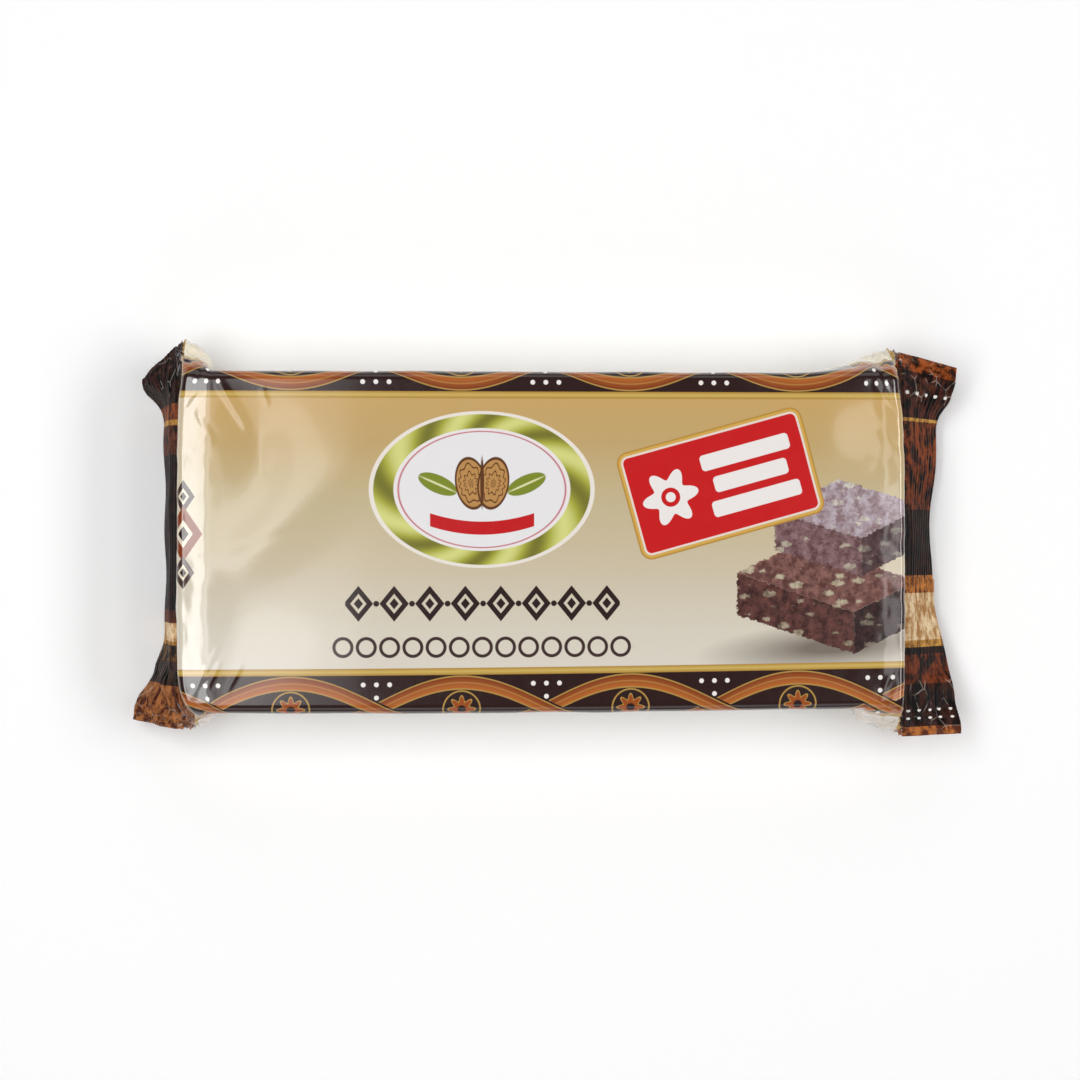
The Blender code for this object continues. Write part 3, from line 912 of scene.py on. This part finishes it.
def halva(tree, film, below):
    """Two cut bars of halva, one across the other, with crumbly edges and a soft shadow.

    Noise shifts the coordinates by a fraction of a millimetre, so no edge is straight.
    """
    shift = add(tree, "TexNoise", film, None, 0.8, 3.0, 0.6, noise_dimensions="2D").node.outputs[1]
    shift = add(tree, "VectorMath SUBTRACT", shift, (0.5, 0.5, 0.5))
    rough = add(tree, "VectorMath MULTIPLY_ADD", shift, (1.6, 1.6, 0.0), film)
    shadow, _, _ = local(tree, film, (76.0, -27.5), 4.0)
    dim = add(tree, "MapRange", oval(tree, shadow, (24.0, 4.5)), 2.5, -3.0, 0.0, 0.8)
    colour = add(tree, "MixRGB", dim, below, linear("#4E3A30"))
    for bar in HALVA_BARS:
        colour = halva_slab(tree, rough, colour, *bar)
    return colour


# Each lozenge of the charm: its place round the film, its size and its ink.
CHARM = ((12.0, 3.0, "#4A3430"), (2.4, 5.0, "#843606"), (-7.6, 3.0, "#4A3430"))
CHARM_FROM_MIDDLE = -93.4


def end_charm(tree, film, below):
    """Lozenges in a column at the left end of the face, orange between grey."""
    for centre_v, size, tint in CHARM:
        spot, _, _ = local(tree, film, (CHARM_FROM_MIDDLE, centre_v))
        away = add(tree, "VectorMath ABSOLUTE", spot)
        away = add(tree, "VectorMath DOT_PRODUCT", away, (1.0, 0.7, 0.0))
        inks = ((tint, size), ("#E9DFC6", size * 0.5), (BROWN_INK, size * 0.28))
        below = ink(tree, below, away, *inks)
    return below


SIDE_ROW = 53.2
SIDE_CELL = 6.0
SIDE_ROW_HALF = 80.0


def side_row(tree, u, v, below):
    """Small brown lozenges with gold hearts and a dot between, on the walls under the borders."""
    aside = add(tree, "PINGPONG", u, SIDE_CELL)
    away = past(tree, add(tree, "ABSOLUTE", v), 0.0, SIDE_ROW)
    away = add(tree, "MAXIMUM", away, past(tree, u, SIDE_ROW_HALF))
    lozenge = add(tree, "ADD", aside, away)
    colour = ink(tree, below, lozenge, (BROWN_INK, 2.6), (GOLD_INK, 1.1))
    dot = radius_of(tree, add(tree, "SUBTRACT", SIDE_CELL, aside), away)
    return ink(tree, colour, dot, (ORANGE_INK, 0.8))


# Each bare panel on the back: its middle round the film, and half its width.
BACK_PANELS = ((-88.0, 10.5), (91.0, 13.5))
BACK_PANEL_HALF = 78.0


def back_panels(tree, film, below):
    """Two bare cream panels in gold frames on the back, one on each side of the seam."""
    for centre_v, half in BACK_PANELS:
        spot, _, _ = local(tree, film, (0.0, centre_v))
        outside = rounded_box(tree, spot, (BACK_PANEL_HALF, half), 3.0)
        below = ink(tree, below, outside, (BROWN_INK, 0.9), (GOLD_INK, 0.6), "#E6DECB")
    return below


UPPER_RULE = 39.2
LOWER_RULE = -34.0
RULE_WIDTH = 1.8
UPPER_BAND = 9.5
LOWER_BAND = 12.6
EDGE_LINE = 1.4
PRINT_TILT = 0.006
END_FROM = 96.6


def draw_print(tree):
    """All the inks in the order they lie, from the ground to the bands at the film's ends, with
    painted highlights and a painted reflection among them.

    w is the distance outwards from the rule that is nearest, over 0 in a border.
    """
    film = add(tree, "UVMap", uv_map="film_mm")
    u = add(tree, "SeparateXYZ", film)
    v = u.node.outputs[1]
    # The ground, with a painted reflection on the left end's bevel.
    colour = painted_end_glare(tree, u, ground(tree, v))
    for draw in (badge, rows_of_ornament, halva, red_panel, end_charm):
        colour = draw(tree, film, colour)
    above = add(tree, "SUBTRACT", v, UPPER_RULE)
    under = add(tree, "SUBTRACT", LOWER_RULE, v)
    under = add(tree, "MULTIPLY_ADD", u, PRINT_TILT, under)
    w = add(tree, "MAXIMUM", above, under)
    inner = add(tree, "MULTIPLY", w, -1.0)
    # Painted sheen: each gold rule is lighter along its middle than at its edges.
    sheen = add(tree, "ABSOLUTE", add(tree, "MULTIPLY_ADD", w, 2.0 / RULE_WIDTH, 1.0))
    rule = add(tree, "MixRGB", sheen, linear(RULE_SHEEN_INKS[1]), linear(RULE_SHEEN_INKS[0]))
    colour = ink(tree, colour, inner, (rule, RULE_WIDTH), border(tree, u, w))
    upper_left = add(tree, "SUBTRACT", UPPER_BAND, above)
    lower_left = add(tree, "SUBTRACT", LOWER_BAND, under)
    border_left = add(tree, "MINIMUM", upper_left, lower_left)
    wall_print = side_row(tree, u, v, back_panels(tree, film, ground(tree, v)))
    colour = ink(tree, colour, border_left, GOLD_INK, (wall_print, -EDGE_LINE))
    beyond = add(tree, "SUBTRACT", END_FROM, add(tree, "ABSOLUTE", u))
    return ink(tree, colour, beyond, (GOLD_INK, 1.2), end_band(tree, film, u, v))


def node_material(name):
    """A new material and its node tree."""
    material = bpy.data.materials.new(name)
    material.use_nodes = True
    return material, material.node_tree


def shade(tree, inputs):
    """Feeds the inputs of a material's shader from a table by name."""
    shader = tree.nodes["Principled BSDF"]
    feed(tree, [shader.inputs[name] for name in inputs], inputs.values())


MOTTLE_SIZE = 10.0 / 3.0
PULL_SIZE = 10.0 / 9.0


def printed_film(name, smoothest, roughest, index, coat):
    """Reverse-printed polypropylene film: clear gloss over ink, faintly uneven in its pull.

    It gives sharp, coloured reflections on the body, and dull ones where jaws crimped it.
    """
    material, tree = node_material(name)
    place_m = add(tree, "TexCoord").node.outputs["Object"]
    mottle = add(tree, "TexNoise", place_m, None, 1.0 / (MOTTLE_SIZE * METRES), 3.0, 0.6)
    gloss = add(tree, "MapRange", mottle, 0.3, 0.7, smoothest, roughest)
    pull = add(tree, "TexNoise", place_m, None, 1.0 / (PULL_SIZE * METRES), 2.0, 0.5)
    bump = add(tree, "Bump", 0.05, 0.0002, None, pull)
    surface = {"Base Color": draw_print(tree), "Roughness": gloss, "Normal": bump, "IOR": index}
    shade(tree, {**surface, "Coat Weight": coat, "Coat Roughness": 0.08})
    return material


body_film.data.materials.append(printed_film("printed_film", 0.14, 0.2, 1.49, 0.8))
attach(body_film, "root")
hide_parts("wrapped_brick")


# End seals. At each end the two layers of film are welded between heated jaws, which press
# ribs across them, and cut off. The right one is a little longer in front of the back seam.
ROWS_PER_RIB = 8


def seal_rows(end):
    """Rows along a fin from its root to its cut edge, at the height and place of the seal."""
    count = int(round(SEAL_LENGTH / RIB_PITCH * ROWS_PER_RIB))
    distance = np.linspace(0.0, SEAL_LENGTH, count + 1)
    flat = np.ones(len(distance))
    half = SEAL_THICKNESS / 2.0
    along = (LENGTH / 2.0 + PANEL_LEAN[end]) * flat
    return along, (SEAL_HEIGHT + half) * flat, (SEAL_HEIGHT - half) * flat, flat, distance


crimped_film = printed_film("crimped_film", 0.34, 0.46, 1.25, 0.0)
fins = {}
for end, name in ((-1, "left_seal"), (1, "right_seal")):
    rows = seal_rows(end)
    fin = rings(end, rows)
    root_along = film_along[0] if end == -1 else film_along[-1]
    along = root_along + end * rows[4]
    if end == -1:
        fin, along = fin[::-1], along[::-1]
    cut_row = 0 if end == -1 else len(fin) - 1
    seal = film_mesh(name, fin, along, film_around, cut_row, bake_map=False)
    seal.data.materials.append(crimped_film)
    fins[end] = fin
    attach(seal, "root")
    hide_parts("wrapped_brick")


# Back seam. The two long edges of the sheet are welded together by heated wheels, which roll
# fine lines along them, and folded flat under the brick. It runs on under both end seals.
SEAM_REACH = 8
SEAM_STEPS = 72
SEAM_SUNK = 0.12
SEAM_ROUNDING = 0.5
LINE_PITCH = 1.0
LINE_DEPTH = 0.07
SEAM_UNDERLAP = 0.05
CLOUD_SIZE = 6.25


def seam_strip(points):
    """The strip of a closed section's columns about its start, in finer steps across.

    Each step lies on the straight line between its two neighbours among the columns.
    """
    near, far = points[:, SEAM_REACH:0:-1], points[:, -2 : -2 - SEAM_REACH : -1]
    strip = np.concatenate([near, points[:, :1], far], axis=1)
    place_across = np.linspace(0.0, strip.shape[1] - 1.001, SEAM_STEPS + 1)
    low = place_across.astype(int)
    share = (place_across - low)[None, :, None]
    return strip[:, low] * (1.0 - share) + strip[:, low + 1] * share


def seam_shell():
    """A closed thin shell: the outer face stands off the film, the inner one lies in it.

    The outer height is a half circle's rise at both edges, less a cosine for the rolled lines.
    """
    parts = (fins[-1][:-1], body, fins[1][1:])
    base = np.concatenate([seam_strip(part) for part in parts])
    normal = np.concatenate([seam_strip(unit_normals(part)) for part in parts])
    y = base[0, :, 1] - SEAM_MIDDLE
    inside = np.clip((np.abs(y).max() - np.abs(y)) / SEAM_ROUNDING, 0.0, 1.0)
    line = LINE_DEPTH * (0.5 - 0.5 * np.cos(2.0 * np.pi * y / LINE_PITCH))
    rise = (SEAM_RELIEF + SEAM_SUNK) * np.sqrt(inside * (2.0 - inside))
    outer = base + normal * (rise - SEAM_SUNK - line * inside)[None, :, None]
    inner = base - normal * (SEAM_SUNK + SEAM_UNDERLAP)
    ring = np.concatenate([outer, inner[:, ::-1]], axis=1)
    rows, columns = ring.shape[:2]
    i, j = grid(rows - 1, columns)
    faces = np.stack([i * columns + j, i * columns + (j + 1) % columns], axis=1)
    faces = np.concatenate([faces, faces[:, ::-1] + columns], axis=1)
    k = np.arange(columns // 2 - 1)
    cap = np.stack([k, columns - 1 - k, columns - 2 - k, k + 1], axis=1)
    faces = np.concatenate([faces, cap, cap[:, ::-1] + (rows - 1) * columns])
    return mesh_object("back_seam", ring, faces)


def seam_film():
    """Bare welded polypropylene film, pearl cream and satin: cloudy where it is thicker."""
    material, tree = node_material("seam_film")
    place_m = add(tree, "TexCoord").node.outputs["Object"]
    cloud = add(tree, "TexNoise", place_m, None, 1.0 / (CLOUD_SIZE * METRES), 4.0, 0.6)
    cloud = add(tree, "MapRange", cloud, 0.35, 0.65)
    colour = add(tree, "MixRGB", cloud, linear("#D6CBB5"), linear("#E0D7C4"))
    gloss = add(tree, "MapRange", cloud, 0.0, 1.0, 0.3, 0.42)
    surface = {"Base Color": colour, "Roughness": gloss, "IOR": 1.49}
    shade(tree, {**surface, "Coat Weight": 0.3, "Coat Roughness": 0.15})
    return material


back_seam = seam_shell()
back_seam.data.materials.append(seam_film())
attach(back_seam, "root")
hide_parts("wrapped_brick")


# Floor and light. A matt white card on a studio table, in a dim white room. A soft box and
# two cards over the left and a card and a soft box over the right lie in the film's gloss, and
# two fills light its long walls. All of them face the pack.
def area_light(name, place_m, size, power):
    """A rectangular soft light, in metres and watts, that faces the origin."""
    lamp = bpy.data.lights.new(name, "AREA")
    lamp.shape = "RECTANGLE"
    lamp.size, lamp.size_y = size
    lamp.energy = power
    light = bpy.data.objects.new(name, lamp)
    light.location = place_m
    light.rotation_euler = (-Vector(place_m)).to_track_quat("-Z", "Y").to_euler()
    scene.collection.objects.link(light)


area_light("left_softbox", (-0.52, 0.05, 0.95), (1.0, 0.30), 5.2)
area_light("left_card", (-0.235, 0.0, 0.95), (0.9, 0.29), 1.35)
area_light("top_card", (-0.13, 0.0, 0.98), (0.9, 0.2), 0.5)
area_light("right_card", (0.42, 0.0, 0.95), (0.9, 0.16), 0.85)
area_light("right_softbox", (0.78, 0.05, 0.80), (0.8, 0.28), 4.4)
area_light("front_fill", (0.0, -1.0, 0.55), (1.2, 0.5), 1.4)
area_light("back_fill", (0.0, 1.0, 0.55), (1.2, 0.5), 1.4)

ROOM_BRIGHTNESS = 0.11
world = bpy.data.worlds.new("studio")
world.use_nodes = True
room = world.node_tree.nodes["Background"]
room.inputs["Color"].default_value = (1.0, 1.0, 1.0, 1.0)
room.inputs["Strength"].default_value = ROOM_BRIGHTNESS
scene.world = world
scene.view_settings.view_transform = "Standard"

FLOOR_HALF = 3000.0
corners = FLOOR_HALF * np.array([(-1, -1, 0), (1, -1, 0), (1, 1, 0), (-1, 1, 0)])
floor = mesh_object("floor", corners, np.array([(0, 1, 2, 3)]))
card, card_tree = node_material("matt_card")
shade(card_tree, {"Base Color": linear("#FFFFFF"), "Roughness": 0.9})
floor.data.materials.append(card)
